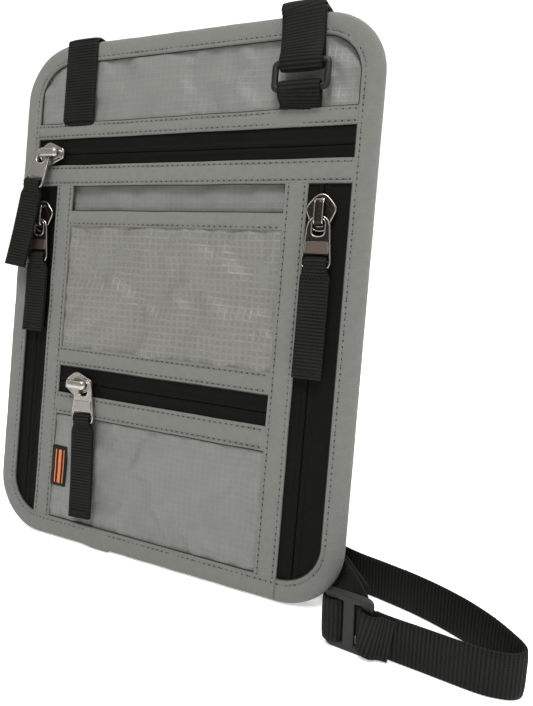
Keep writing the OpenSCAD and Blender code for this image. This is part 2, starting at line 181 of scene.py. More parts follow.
def tape_cloth(name, colour, roughness, rib, depth, sheen=0.0, low=0.82, high=1.15, cloud_mm=14.0,
               rib_shade_share=0.5, specular=0.15):
    """Close ribbed tape: ribs across it, and finer warp threads along it, with painted shade in the
    grooves and painted highlight on the crests.
    """
    s = Shader(name, colour, roughness, sheen=sheen, specular=specular)
    across, along = s.cloth_uv()
    ribs = s.wave(along, rib)
    warp = s.wave(across, rib * 0.8)
    fuzz = s.mottle(1.1, 4.0)
    cloud = s.mottle(cloud_mm)
    # The ribs and warp threads also set the colour: painted shade in the grooves and painted highlight
    # on the crests, mixed with a random mottle of the tape's own tone.
    both = s.maths("MULTIPLY", ribs, s.maths("ADD", s.maths("MULTIPLY", warp, 0.5), 0.5))
    rib_shade_and_mottle = s.maths("ADD", s.maths("MULTIPLY", both, rib_shade_share), s.maths("MULTIPLY", cloud, 0.6))
    s.tint(rib_shade_and_mottle, low, high)
    s.rough(fuzz, roughness - 0.08, roughness + 0.1)
    s.relief((both, depth), (fuzz, depth * 0.6))
    return s.material


def metal(name, colour, roughness, wear, spots=0.0):
    """Plated metal with fine handling marks, and dark speckles where spots is set."""
    s = Shader(name, colour, roughness, metallic=1.0)
    marks = s.mottle(2.2, 6.0)
    s.rough(marks, roughness - 0.06, roughness + wear)
    if spots:
        speckle = s.maths("POWER", s.mottle(0.5, 2.0), 2.0)
        s.tint(speckle, 1 - spots, 1 + 2.2 * spots)
        s.relief((speckle, 0.05), (marks, 0.02))
    else:
        s.tint(marks, 0.92, 1.05)
        s.relief((marks, 0.015))
    return s.material


def moulded(name, colour, roughness, specular=0.5):
    s = Shader(name, colour, roughness, specular=specular)
    grain = s.mottle(0.6, 3.0)
    s.tint(s.mottle(12.0), 0.85, 1.2)
    s.rough(grain, roughness - 0.05, roughness + 0.1)
    s.relief((grain, 0.02))
    return s.material


PANEL = ripstop("ripstop_grey", (0.152, 0.155, 0.144), 0.48, 2.2, 0.22, 0.03, depth=0.06)
SATIN = ripstop("ripstop_satin", (0.145, 0.143, 0.133), 0.36, 2.4, 0.85, 0.02)
BINDING = tape_cloth("binding_grey", (0.148, 0.151, 0.139), 0.8, 0.62, 0.07, sheen=0.03, cloud_mm=2.2)
LINING = ripstop("lining_silver", (0.5, 0.5, 0.5), 0.42, 2.4, 0.3, 0.0)
THREAD = tape_cloth("thread_grey", (0.15, 0.153, 0.141), 0.6, 0.5, 0.03)
# A near-black stand-in for the shade in needle holes and in the gaps beside tape edges: painted shade.
HOLE_AND_GAP_SHADE = tape_cloth("hole_and_gap_shade", (0.028, 0.028, 0.026), 0.9, 0.5, 0.02)
ZIP_TAPE = tape_cloth("zip_tape_black", (0.0045, 0.0045, 0.004), 0.66, 0.7, 0.06, specular=0.06)
COIL = moulded("zip_coil_black", (0.02, 0.02, 0.02), 0.4)
# The webbing's colour runs from far darker in its rib grooves to lighter on the crests: strong painted
# shade and highlight.
WEBBING = tape_cloth("webbing_black", (0.0065, 0.0068, 0.0058), 0.68, RIB, 0.1, low=0.1, high=2.3,
                     rib_shade_share=1.0, specular=0.06)
BLACK_THREAD = tape_cloth("thread_black", (0.01, 0.01, 0.01), 0.5, 0.4, 0.03)
NICKEL = metal("nickel", (0.42, 0.4, 0.37), 0.26, 0.12)
SATIN_NICKEL = metal("nickel_satin", (0.34, 0.315, 0.285), 0.42, 0.1)
GUNMETAL = metal("gunmetal", (0.035, 0.029, 0.024), 0.4, 0.12, spots=0.6)
# A bright copy of the gunmetal for the raised edges of the gunmetal sliders and pulls: painted
# highlight.
GUN_HIGHLIGHT = metal("gunmetal_painted_highlight", (0.42, 0.39, 0.36), 0.24, 0.1)
GUN_PLATE = metal("gunmetal_satin", (0.15, 0.118, 0.1), 0.46, 0.08)
LABEL = tape_cloth("label_black", (0.006, 0.0056, 0.0052), 0.5, 0.5, 0.04)
ORANGE = tape_cloth("label_orange", (0.55, 0.16, 0.05), 0.55, 0.5, 0.04)
PLASTIC = moulded("plastic_black", (0.006, 0.006, 0.0056), 0.5, specular=0.3)

SLOT_MATERIALS = {
    "ripstop_grey": PANEL, "binding_grey": BINDING, "lining_silver": LINING,
    "zip_tape_black": ZIP_TAPE, "zip_coil_black": COIL, "webbing_black": WEBBING,
    "nickel": NICKEL, "gunmetal": GUNMETAL, "label_black": LABEL, "plastic_black": PLASTIC,
}


# ------------------------ camera, light and floor
def aim(location, pitch, yaw):
    """Camera matrix at a place in mm, looking down by pitch and turned from +Y by yaw."""
    turn = Matrix.Rotation(-yaw, 4, "Z") @ Matrix.Rotation(math.pi / 2 - pitch, 4, "X")
    return Matrix.Translation(Vector(location) * MM) @ turn


camera_data = bpy.data.cameras.new("camera")
camera_data.sensor_width = 36.0
camera_data.lens = 28.04
camera_data.shift_y = -0.0451
camera_data.clip_start = 0.01
camera = bpy.data.objects.new("camera", camera_data)
camera.matrix_world = aim((113.12, -175.12, 135.65), math.radians(12.593), math.radians(-22.711))
bpy.context.collection.objects.link(camera)
bpy.context.scene.camera = camera


def area_light(name, at, target, size, power, colour=(1, 1, 1)):
    lamp = bpy.data.lights.new(name, "AREA")
    lamp.size, lamp.energy, lamp.color = size, power, colour
    obj = bpy.data.objects.new(name, lamp)
    obj.location = at
    obj.rotation_euler = (Vector(target) - Vector(at)).to_track_quat("-Z", "Y").to_euler()
    bpy.context.collection.objects.link(obj)


area_light("key", (0.12, -0.5, 1.05), (0, 0, 0.1), 0.4, 10.0, (1.0, 0.99, 0.97))
area_light("rim", (0.75, 0.35, 0.6), (0, 0, 0.1), 0.5, 5.0)
area_light("top", (0.0, 0.25, 1.0), (0, 0, 0.1), 0.6, 4.0)

world = bpy.data.worlds.new("studio")
world.use_nodes = True
world.node_tree.nodes["Background"].inputs[0].default_value = (1, 1, 1, 1)
world.node_tree.nodes["Background"].inputs[1].default_value = 0.5
bpy.context.scene.world = world
bpy.context.scene.view_settings.view_transform = "Standard"


def cyclorama():
    """A pale floor that curves up into a backdrop far behind the pouch."""
    depth = [(-3.0, 0.0), (1.2, 0.0)]
    for i in range(1, 13):
        a = math.pi / 2 * i / 12
        depth.append((1.2 + 0.8 * math.sin(a), 0.8 - 0.8 * math.cos(a)))
    depth.append((2.0, 3.0))
    verts = [(x, y, z) for y, z in depth for x in (-4.0, 4.0)]
    faces = [(2 * i, 2 * i + 1, 2 * i + 3, 2 * i + 2) for i in range(len(depth) - 1)]
    mesh = bpy.data.meshes.new("floor")
    mesh.from_pydata(verts, [], faces)
    mesh.shade_smooth()
    s = Shader("floor_white", (0.93, 0.93, 0.925), 0.8)
    s.tint(s.mottle(400.0), 0.99, 1.01)
    s.surface.inputs["Emission Color"].default_value = (1, 1, 1, 1)
    s.surface.inputs["Emission Strength"].default_value = 0.42
    mesh.materials.append(s.material)
    obj = bpy.data.objects.new("floor", mesh)
    bpy.context.collection.objects.link(obj)


cyclorama()


# ------------------------ mesh helpers
def piece(name, verts, faces, material, body="pouch", place=STAND, uvs=None, sharp=50.0):
    """A smooth mesh in the row frame from points in mm. uvs are mm across and along the cloth."""
    mesh = bpy.data.meshes.new(name)
    mesh.from_pydata([place @ Vector(v) for v in verts], [], faces)
    if uvs:
        layer = mesh.uv_layers.new(name="Cloth")
        corners = [uvs[loop.vertex_index] for loop in mesh.loops]
        layer.data.foreach_set("uv", [c / 100.0 for uv in corners for c in uv])
    mesh.materials.append(material)
    mesh.shade_smooth()
    mesh.set_sharp_from_angle(angle=math.radians(sharp))
    obj = bpy.data.objects.new(name, mesh)
    bpy.context.collection.objects.link(obj)
    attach(obj, body)
    return obj


def stands_for(obj, slot, *nodes):
    if nodes:
        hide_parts(*nodes)
    return obj


def grid_faces(rows, columns, closed_rows=False, closed_columns=False):
    """Quads of a grid of points listed row by row."""
    faces = []
    for i in range(rows if closed_rows else rows - 1):
        for k in range(columns if closed_columns else columns - 1):
            a, b = i * columns + k, i * columns + (k + 1) % columns
            c, d = ((i + 1) % rows) * columns + (k + 1) % columns, ((i + 1) % rows) * columns + k
            faces.append((a, b, c, d))
    return faces


def catmull(points, step):
    """Points every step mm or so on a smooth curve through points, lists of equal length."""
    out = []
    last = len(points) - 1
    for i in range(last):
        p0, p1, p2, p3 = (points[min(max(i + j, 0), last)] for j in (-1, 0, 1, 2))
        span = math.dist(p1[:3], p2[:3])
        count = max(1, round(span / step))
        for n in range(count):
            t = n / count
            out.append([
                0.5 * (2 * b + (c - a) * t + (2 * a - 5 * b + 4 * c - d) * t * t
                       + (3 * b - a - 3 * c + d) * t ** 3)
                for a, b, c, d in zip(p0, p1, p2, p3)])
    out.append(list(points[-1]))
    return out


def band(name, route, width, thickness, rib, depth, material, body="pouch", place=WORLD, taper=None):
    """Ribbed webbing along rows of [x, y, z, width direction], already close together."""
    columns = 8
    across = [(-1 + 2 * (k + 0.15) / (columns + 0.3), 1) for k in range(columns + 1)]
    edge = [(-1, 0)] + across + [(1, 0)]
    ring = edge + [(u, -v) for u, v in reversed(edge[1:-1])]
    verts, uvs, run = [], [], 0.0
    last = len(route) - 1
    for i, row in enumerate(route):
        here = Vector(row[:3])
        if i:
            run += (here - Vector(route[i - 1][:3])).length
        tangent = (Vector(route[min(i + 1, last)][:3]) - Vector(route[max(i - 1, 0)][:3])).normalized()
        side = Vector(row[3:6])
        side = (side - side.dot(tangent) * tangent).normalized()
        face = tangent.cross(side)
        w = (taper(run) if taper else width) / 2
        for u, v in ring:
            crown = 1 - 0.35 * abs(u) ** 4
            wave = math.sin(2 * math.pi * run / rib + (math.pi if v < 0 else 0))
            lift = v * (thickness / 2 * crown + depth * wave * (1 - abs(u) ** 6))
            fray = 0.36 * depth * wave if abs(u) == 1 else 0.0
            point = here + side * (u * w + fray) + face * lift
            if place is WORLD:
                point.z = max(point.z, 0.05)
            verts.append(point)
            uvs.append((u * w, run))
    faces = grid_faces(len(route), len(ring), closed_columns=True)
    count = len(ring)
    faces += [tuple(range(count))[::-1], tuple(range(last * count, (last + 1) * count))]
    return piece(name, verts, faces, material, body, place, uvs, sharp=60.0)


def cutout(name, loops, half_t, bevel, material, body, place, resolution=3):
    """A plate with rounded edges, drawn as outlines in (x, z) round y = 0. Later loops are holes."""
    curve = bpy.data.curves.new(name, "CURVE")
    curve.dimensions = "2D"
    curve.fill_mode = "BOTH"
    curve.extrude = half_t - bevel
    curve.bevel_depth = bevel
    curve.bevel_resolution = resolution
    for loop in loops:
        spline = curve.splines.new("POLY")
        spline.points.add(len(loop) - 1)
        for point, (x, z) in zip(spline.points, loop):
            point.co = (x, z, 0, 1)
        spline.use_cyclic_u = True
    scratch = bpy.data.objects.new(name, curve)
    bpy.context.collection.objects.link(scratch)
    flat = bpy.data.meshes.new_from_object(scratch.evaluated_get(bpy.context.evaluated_depsgraph_get()))
    bpy.data.objects.remove(scratch)
    upright = Matrix.Rotation(math.pi / 2, 4, "X")
    verts = [upright @ v.co for v in flat.vertices]
    faces = [tuple(p.vertices) for p in flat.polygons]
    bpy.data.meshes.remove(flat)
    return piece(name, verts, faces, material, body, place, sharp=35.0)


def wire(name, path, radius, material, body, place, closed=True, squash=1.0, sides=10):
    """A round or oval bar along (x, y, z) points. squash scales it across the path's own plane."""
    verts = []
    count = len(path)
    for i, point in enumerate(path):
        here = Vector(point)
        ahead = Vector(path[(i + 1) % count] if closed else path[min(i + 1, count - 1)])
        back = Vector(path[(i - 1) % count] if closed else path[max(i - 1, 0)])
        tangent = (ahead - back).normalized()
        up = Vector((0, 1, 0)) if abs(tangent.y) < 0.9 else Vector((1, 0, 0))
        if not closed and abs(tangent.x) < 0.5:
            up = Vector((1, 0, 0))
        side = tangent.cross(up).normalized()
        up = side.cross(tangent)
        for k in range(sides):
            a = 2 * math.pi * k / sides
            verts.append(here + side * (radius * math.cos(a)) + up * (radius * squash * math.sin(a)))
    faces = grid_faces(count, sides, closed_rows=closed, closed_columns=True)
    if not closed:
        faces += [tuple(range(sides))[::-1], tuple(range((count - 1) * sides, count * sides))]
    return piece(name, verts, faces, material, body, place, sharp=60.0)


def rounded(points, radius, steps):
    """A closed outline in (x, z) with its corners rounded."""
    out = []
    count = len(points)
    for i in range(count):
        p = Vector(points[i])
        a, b = Vector(points[i - 1]) - p, Vector(points[(i + 1) % count]) - p
        reach = min(radius, a.length * 0.45, b.length * 0.45)
        a, b = p + a.normalized() * reach, p + b.normalized() * reach
        for n in range(steps + 1):
            t = n / steps
            q = a * (1 - t) ** 2 + p * 2 * t * (1 - t) + b * t * t
            out.append((q.x, q.y))
    return out


def rounded_box(x0, x1, z0, z1, radius, steps):
    """A rectangle's outline with rounded corners."""
    return rounded([(x0, z0), (x1, z0), (x1, z1), (x0, z1)], radius, steps)


# ------------------------ neck strap, a cord in two parts
# The same rows as in part.scad: on the pouch [depth, height], elsewhere [x, y, z, width direction].
LEFT_ON_POUCH = [[-0.9, 168.6], [-0.9, 184], [-0.9, 198.5], [-0.75, 200.2], [-0.1, 201],
                 [1.2, 201.4], [3.4, 201.4], [6.6, 200.9], [8, 198]]
RIGHT_ON_POUCH = [[8.6, 198.2], [7.6, 201.4], [4, 202.4], [0.8, 202.1], [-0.5, 201.2], [-0.9, 199.4],
                  [-0.9, 191, 0.3], [-0.9, 182.6, 0.8], [-1.6, 180.7, 0.8], [-3.3, 180, 0.8]]
FLOOR_RUN = [
    [-47, 26.4, 178, 1, 0, 0], [-47, 28.4, 140, 1, 0, 0], [-47, 29.6, 100, 1, 0.4, 0],
    [-47, 30, 68, 1, 1, 0], [-47, 30, 42, 0, 1, 0], [-46, 30, 26, 0, 1, 0], [-42, 30, 12, 0, 1, 0],
    [-34, 30, 3.2, 0, 1, 0], [-24, 30, 1.2, 0, 1, 0], [-13, 30, 4.1, 0, 1, 0.5],
    [-2, 30.5, 7.6, 0, 0.5, 1], [9, 31, 7.6, 0, 0, 1], [23, 30, 7.6, 0, 0, 1], [36, 26, 7.6, 0, 0, 1],
    [47, 19.5, 7.6, 0, 0, 1], [56, 10.5, 7.6, 0, 0, 1], [63, 2, 7.6, 0, 0, 1], [69, -3, 7.6, 0, 0, 1],
    [77, -6, 7.6, 0, 0, 1], [87, -8, 7.6, 0, 0, 1], [97, -10.2, 7.6, 0, 0, 1],
    [106, -13, 7.6, 0, 0, 1], [114, -16.4, 7.6, 0, 0, 1], [121, -20.6, 7.6, 0, 0, 1],
    [126, -24.8, 7.6, 0, 0, 1], [129, -28, 7.6, 0, 0, 1], [129.6, -30.4, 7.6, 0, 0, 1],
    [128, -32.4, 7.6, 0, 0, 1], [124.4, -33.7, 7.6, 0, 0, 1], [118, -34.3, 7.6, 0, 0, 1],
    [104, -33.2, 7.6, 0, 0, 1], [90, -32.1, 7.8, 0, 0, 1], [86, -30.6, 8.4, 0, 0, 1],
    [82, -26.8, 9.2, 0.2, 0.2, 1], [75.6, -19.4, 9.6, 0.25, 0.3, 0.9],
    [69.5, -12.8, 9.6, 0.25, 0.3, 0.9], [62, -8.5, 8.6, 0.1, 0.2, 1], [54, -5.6, 8, 0, 0.6, 0.9],
    [46, -3.8, 6, 0, 1, 0.5], [38, -2.6, 3, 0, 1, 0], [30.5, -2, 5.6, 0, 1, 0],
    [26.5, -1.2, 14, 0, 1, 0], [25.5, 0, 27, 0, 1, 0], [27, 3, 45, 0.3, 1, 0], [31, 7, 68, 1, 1, 0],
    [36, 12, 98, 1, 0.4, 0], [41, 17.4, 130, 1, 0, 0], [45, 22.6, 162, 1, 0, 0],
    [47, 25.8, 182, 1, 0, 0]]
RETURN_FROM, LAYER_GAP = 34, 1.9
RETURN_ON_POUCH = [[-3.1, 179.9, 0.8], [-4.4, 180.1, 0.8], [-5.3, 181.3, 0.8], [-5.4, 183, 0.8],
                   [-4.6, 186, 0.8], [-3.5, 190.5, 0.4], [-2.9, 195], [-2.85, 199.6, -0.4],
                   [-2.4, 202, -0.9], [-0.6, 203.6, -1.1], [4, 204.1, -1.1], [8.3, 203.4, -0.6],
                   [10.2, 200.4], [10.4, 198.2]]


def on_pouch(rows, x):
    """Rows of [depth, height, shift along x] on the leant pouch, in mm on the floor."""
    return [[*(STAND @ Vector((x + sum(row[2:]), *row[:2])) / MM), 1, 0, 0] for row in rows]


def beside(rows, gap):
    """The same rows, a gap away from the webbing's face."""
    out = []
    for i, row in enumerate(rows):
        t = (Vector(rows[min(i + 1, len(rows) - 1)][:3]) - Vector(rows[max(i - 1, 0)][:3])).normalized()
        w = Vector(row[3:])
        w = (w - w.dot(t) * t).normalized()
        out.append([*(Vector(row[:3]) + gap * t.cross(w)), *row[3:]])
    return out


def length_of(route):
    return sum(math.dist(a[:3], b[:3]) for a, b in zip(route, route[1:])) * MM


main_route = catmull(on_pouch(LEFT_ON_POUCH, -STRAP_X) + FLOOR_RUN
                     + on_pouch(RIGHT_ON_POUCH, STRAP_X), RIB / 5)
return_route = catmull([[83.4, -25.4, 9.4, 0.2, 0.2, 1]] + beside(FLOOR_RUN[RETURN_FROM:], LAYER_GAP)
                       + on_pouch(RETURN_ON_POUCH, STRAP_X)[::-1], RIB / 5)
for title, node, route, at in (("neck_webbing", "neck_strap", main_route, 0),
                               ("neck_webbing_second_layer", "neck_strap_return", return_route, -1)):
    strap = band(title, route, STRAP_W, STRAP_T, RIB, 0.13, WEBBING)
    stands_for(strap, "webbing_black", node)


# ------------------------ edge binding and trims
def outline_points(step):
    """(x, z, outward normal x, z, run, corner turn 0 to 1) round the pouch's outer edge."""
    hw, r = POUCH_W / 2 - CORNER_R, CORNER_R
    hz0, hz1 = CORNER_R, POUCH_H - CORNER_R
    corners = [(hw, hz0, -90), (hw, hz1, 0), (-hw, hz1, 90), (-hw, hz0, 180)]
    points, run, last = [], 0.0, None
    for i, (cx, cz, a0) in enumerate(corners):
        turns = round(r * math.pi / 2 / step)
        arc = []
        for n in range(turns + 1):
            a = math.radians(a0 + 90 * n / turns)
            arc.append((cx + r * math.cos(a), cz + r * math.sin(a), math.cos(a), math.sin(a), n / turns))
        nx, nz, a1 = corners[(i + 1) % 4]
        end = arc[-1]
        start = (nx + r * math.cos(math.radians(a1)), nz + r * math.sin(math.radians(a1)))
        span = math.dist(end[:2], start)
        count = round(span / step)
        side = [(end[0] + (start[0] - end[0]) * n / count, end[1] + (start[1] - end[1]) * n / count,
                 end[2], end[3], 0.0) for n in range(1, count)]
        for p in arc + side:
            if last is not None:
                run += math.dist(p[:2], last)
            last = p[:2]
            points.append((*p[:4], run, p[4]))
    return points


def inside_outline(x, z, inset):
    """Pulls a point that is outside the pouch's rounded corners back to them."""
    r = CORNER_R - inset
    cx = max(-POUCH_W / 2 + CORNER_R, min(POUCH_W / 2 - CORNER_R, x))
    cz = max(CORNER_R, min(POUCH_H - CORNER_R, z))
    off = math.hypot(x - cx, z - cz)
    if off > r and x != cx and z != cz:
        x, z = cx + (x - cx) * r / off, cz + (z - cz) * r / off
    return x, z


EDGE = outline_points(1.0)
STITCH_INSET, STITCH_PITCH = 6.1, 2.2
# The folded tape's section: (distance in from the edge, depth), from the inner front edge round the back
SECTION = [(7.5, 0.85), (7.52, 0.2), (7.4, -0.1), (7.05, -0.27), (6.6, -0.22), (6.1, -0.06),
           (5.6, -0.2), (4.8, -0.34), (3.6, -0.4), (2.4, -0.36), (1.3, -0.18), (0.4, 0.2),
           (-0.15, 0.8), (-0.35, 1.5), (-0.2, 2.4), (0.15, 3.3), (0.6, 4.2), (1.1, 5.1), (1.7, 5.9),
           (2.4, 6.5), (3.2, 6.85), (4.1, 7.0), (5.1, 6.93), (5.9, 6.74), (6.4, 6.86), (7.1, 6.9),
           (7.45, 6.7), (7.5, 6.0)]


def binding_join(x, z):
    """Where the tape's two ends overlap at the foot of the pouch."""
    if z > 4 or not -34 < x < -16:
        return 0.0
    return 0.42 * smooth(-17.2, -17.9, x) * smooth(-33, -24, x)


verts, uvs = [], []
section_run = [0.0]
for a, b in zip(SECTION, SECTION[1:]):
    section_run.append(section_run[-1] + math.dist(a, b))
for x, z, nx, nz, run, turn in EDGE:
    pleat = math.sin(math.pi * turn)
    for (inset, depth), across in zip(SECTION, section_run):
        inward = smooth(1.5, 7.5, inset)
        seam = bump_at(abs(inset - STITCH_INSET), 0.5)
        pucker = seam * 0.08 * math.cos(2 * math.pi * run / STITCH_PITCH)
        lump = noise.noise(Vector((x * 0.12, z * 0.12, depth * 0.2))) * 0.35
        ripples = 0.22 * math.sin(2 * math.pi * run / 3.9) + 0.1 * math.sin(run * 2.9)
        gather = pleat * inward * (1 - 0.8 * seam) * ripples
        front = 1.0 if depth < 3 else -1.0
        join = binding_join(x, z)
        d = depth + front * (pucker + gather + lump * 0.6 - join)
        off = inset - join * (1 - inward)
        verts.append((x - nx * off, d, z - nz * off))
        uvs.append((across, run))
binding_faces = grid_faces(len(EDGE), len(SECTION), closed_rows=True)
stands_for(piece("binding", verts, binding_faces, BINDING, uvs=uvs), "binding_grey", "edge_binding")


def tape_wander(along, start):
    """How far a hand-guided tape strays to its side, in mm."""
    return 0.16 * noise.noise(Vector((along * 0.06, start, 3.0)))


# Each trim's stitch lines, as distances from its lower or left edge
TRIM_ROWS = {
    "top_zip_upper_trim": (1.1, 5.0), "top_zip_lower_trim": (1.2, 7.1),
    "left_zip_trim": (1.2, 6.9), "right_zip_trim": (1.3, 7.1), "slip_pocket_trim": (1.0,),
    "lower_zip_upper_trim": (1.2, 6.6), "lower_zip_lower_trim": (1.3, 7.4),
}


def trim(node, x, z, depth, bulges=()):
    """A flat sewn tape. bulges are (place along it, height) of what lies under it."""
    upright = z[1] - z[0] > x[1] - x[0]
    (w0, w1), (l0, l1) = (x, z) if upright else (z, x)
    width = w1 - w0
    inner = [0.35 + (width - 0.7) * k / 15 for k in range(16)]
    profile = [(0.0, 0.85), (-0.02, 0.4), (0.1, 0.12)] + [(c, 0.0) for c in inner] \
        + [(width - 0.1, 0.12), (width + 0.02, 0.4), (width, 0.85)]
    count = round((l1 - l0) / 0.9)
    verts, uvs = [], []
    for i in range(count + 1):
        l = l0 + (l1 - l0) * i / count
        for c, d in profile:
            wander = tape_wander(l, w0)
            px, pz = (w0 + c + wander, l) if upright else (l, w0 + c + wander)
            pulled = 0.17 + 0.06 * math.cos(2 * math.pi * l / STITCH_PITCH)
            sunk = sum(bump_at(c - row, 0.55) * pulled for row in TRIM_ROWS[node])
            ripple = 0.22 * noise.noise(Vector((px * 0.09, pz * 0.09, 7.0))) if d < 0.8 else 0.0
            crown = -0.12 * math.sin(math.pi * min(max(c / width, 0), 1))
            raised = sum(-h * bump_at(l - at, 7.0) ** 0.5 * smooth(0, 2, c) for at, h in bulges)
            verts.append((px, depth + d * 0.9 + sunk + ripple + crown + raised, pz))
            uvs.append((c, l))
    obj = piece("tape_" + node, verts, grid_faces(count + 1, len(profile)), BINDING, uvs=uvs)
    return stands_for(obj, "binding_grey", node)


threads = []        # (point, direction, outward) for every visible grey stitch, in pouch mm


def stitch_line(start, end, depth):
    """Adds a row of front stitches from one (x, z) to another."""
    (x0, z0), (x1, z1) = start, end
    length = math.dist(start, end)
    for i in range(int(length / STITCH_PITCH)):
        t = (i + 0.5) * STITCH_PITCH / length
        threads.append(((x0 + (x1 - x0) * t, depth, z0 + (z1 - z0) * t),
                        ((x1 - x0) / length, 0, (z1 - z0) / length), -1.0))


def seam_ends(node):
    """Where the stitching of a level trim starts and stops in x."""
    return (-INNER_X, INNER_X) if node.startswith("top_zip") else (LEFT_TRIM_X[1], RIGHT_TRIM_X[0])


TUCK = 1.0              # how far a trim's ends run under what crosses them
UPRIGHT_TOP = TRIM_Z["top_zip_lower_trim"][0]
whole_x = (-INNER_X - TUCK, INNER_X + TUCK)
upright_z = (BINDING_W - TUCK, UPRIGHT_TOP + TUCK)
trim("top_zip_upper_trim", whole_x, TRIM_Z["top_zip_upper_trim"], 0.0, bulges=((STRAP_X, 0.35),))
trim("top_zip_lower_trim", whole_x, TRIM_Z["top_zip_lower_trim"], -0.12)
trim("left_zip_trim", LEFT_TRIM_X, upright_z, 0.06)
trim("right_zip_trim", RIGHT_TRIM_X, upright_z, 0.06)
for node in ("slip_pocket_trim", "lower_zip_upper_trim", "lower_zip_lower_trim"):
    trim(node, (LEFT_TRIM_X[1] - TUCK, RIGHT_TRIM_X[0] + TUCK), TRIM_Z[node], 0.2)

TOP_STITCH_DEPTH = {"top_zip_upper_trim": 0.02, "top_zip_lower_trim": -0.1}
for node, (low_z, high_z) in TRIM_Z.items():
    x0, x1 = seam_ends(node)
    for row in TRIM_ROWS[node]:
        stitch_line((x0, low_z + row), (x1, low_z + row), TOP_STITCH_DEPTH.get(node, 0.22))
for node, (x0, x1) in (("left_zip_trim", LEFT_TRIM_X), ("right_zip_trim", RIGHT_TRIM_X)):
    for row in TRIM_ROWS[node]:
        stitch_line((x0 + row, BINDING_W), (x0 + row, UPRIGHT_TOP), 0.08)
following = STITCH_PITCH / 2
for x, z, nx, nz, run, turn in EDGE:
    if run >= following:
        following += STITCH_PITCH
        for depth, out in ((-0.1, -1.0), (6.78, 1.0)):
            threads.append(((x - nx * STITCH_INSET, depth, z - nz * STITCH_INSET), (-nz, 0, nx), out))


def sewn(name, stitches, length, radius, material, slot, body="pouch", place=STAND, at_ends=False):
    """Every stitch as a small rounded thread, or with at_ends two flat dark spots of painted shade where
    it dives into the cloth.
    """
    verts, faces = [], []
    for point, along, out in stitches:
        p, t = Vector(point), Vector(along)
        up = Vector((0, out, 0))
        side = t.cross(up)
        spots = [(p - t * length / 2, 0.3), (p + t * length / 2, 0.3)] if at_ends else [(p, length / 2)]
        for centre, half in spots:
            base = len(verts)
            for s, r in ((-1, 0.15), (-0.72, 0.8), (0, 1.0), (0.72, 0.8), (1, 0.15)):
                for k in range(6):
                    a = math.pi * 2 * k / 6
                    verts.append(centre + t * (s * half) + side * (radius * r * math.cos(a))
                                 + up * (radius * r * math.sin(a) * (0.5 if at_ends else 1.0)))
            faces += [tuple(base + v for v in f) for f in grid_faces(5, 6, closed_columns=True)]
    uvs = [(v.x, v.z) for v in verts]
    obj = piece(name, verts, faces, material, body, place, uvs, sharp=80.0)
    return stands_for(obj, slot)


def gap_shade_line(name, path, closed):
    """A dark line of painted shade in the gap where a tape's edge stands over the cloth beside it."""
    stands_for(wire(name, path, 0.2, HOLE_AND_GAP_SHADE, "pouch", STAND, closed=closed, sides=6), "binding_grey")


GAP_SHADE_INSET = 7.66       # just inside the binding's inner edge
# Painted shade: dark lines in the gap inside the binding and along each trim's free edge.
gap_shade_line("edge_gap_shade", [(x - nx * GAP_SHADE_INSET, 0.5, z - nz * GAP_SHADE_INSET)
                        for x, z, nx, nz, *_ in EDGE], True)
for node, (low_z, high_z) in TRIM_Z.items():
    x0, x1 = seam_ends(node)
    z = high_z + 0.12 if node in ("top_zip_upper_trim", "slip_pocket_trim") else low_z - 0.12
    along = [x0 + (x1 - x0) * i / 60 for i in range(61)]
    gap_shade_line("seam_" + node, [(x, 0.45, z + tape_wander(x, low_z)) for x in along], False)


sewn("stitches_grey", threads, 1.5, 0.19, THREAD, "binding_grey")
# Dark spots at both ends of every grey stitch: painted shade in its needle holes.
sewn("stitch_hole_shade_spots", threads, 2.1, 0.26, HOLE_AND_GAP_SHADE, "binding_grey", at_ends=True)


# ------------------------ cloth panels
def creased(obj, columns, rows, grow, hold):
    """Lets slack cloth buckle between its sewn edges, worked at ten times its size."""
    group = obj.vertex_groups.new(name="sewn")
    for i in range(rows + 1):
        for k in range(columns + 1):
            near = min(k, columns - k, i, rows - i)
            pinned = 1.0 if near < 2 else (0.35 if near < 3 else 0.0)
            group.add([i * (columns + 1) + k], pinned, "REPLACE")
    cloth = obj.modifiers.new("cloth", "CLOTH")
    cloth.settings.quality = 6
    cloth.settings.vertex_group_mass = "sewn"
    cloth.settings.shrink_min = -grow
    cloth.settings.tension_stiffness = 25
    cloth.settings.compression_stiffness = 25
    cloth.settings.bending_stiffness = hold
    cloth.settings.effector_weights.gravity = 0.0
    scene = bpy.context.scene
    for frame_number in range(1, 26):
        scene.frame_set(frame_number)
    moved = obj.evaluated_get(bpy.context.evaluated_depsgraph_get()).to_mesh()
    places = [v.co.copy() for v in moved.vertices]
    obj.evaluated_get(bpy.context.evaluated_depsgraph_get()).to_mesh_clear()
    obj.modifiers.remove(cloth)
    scene.frame_set(1)
    return places


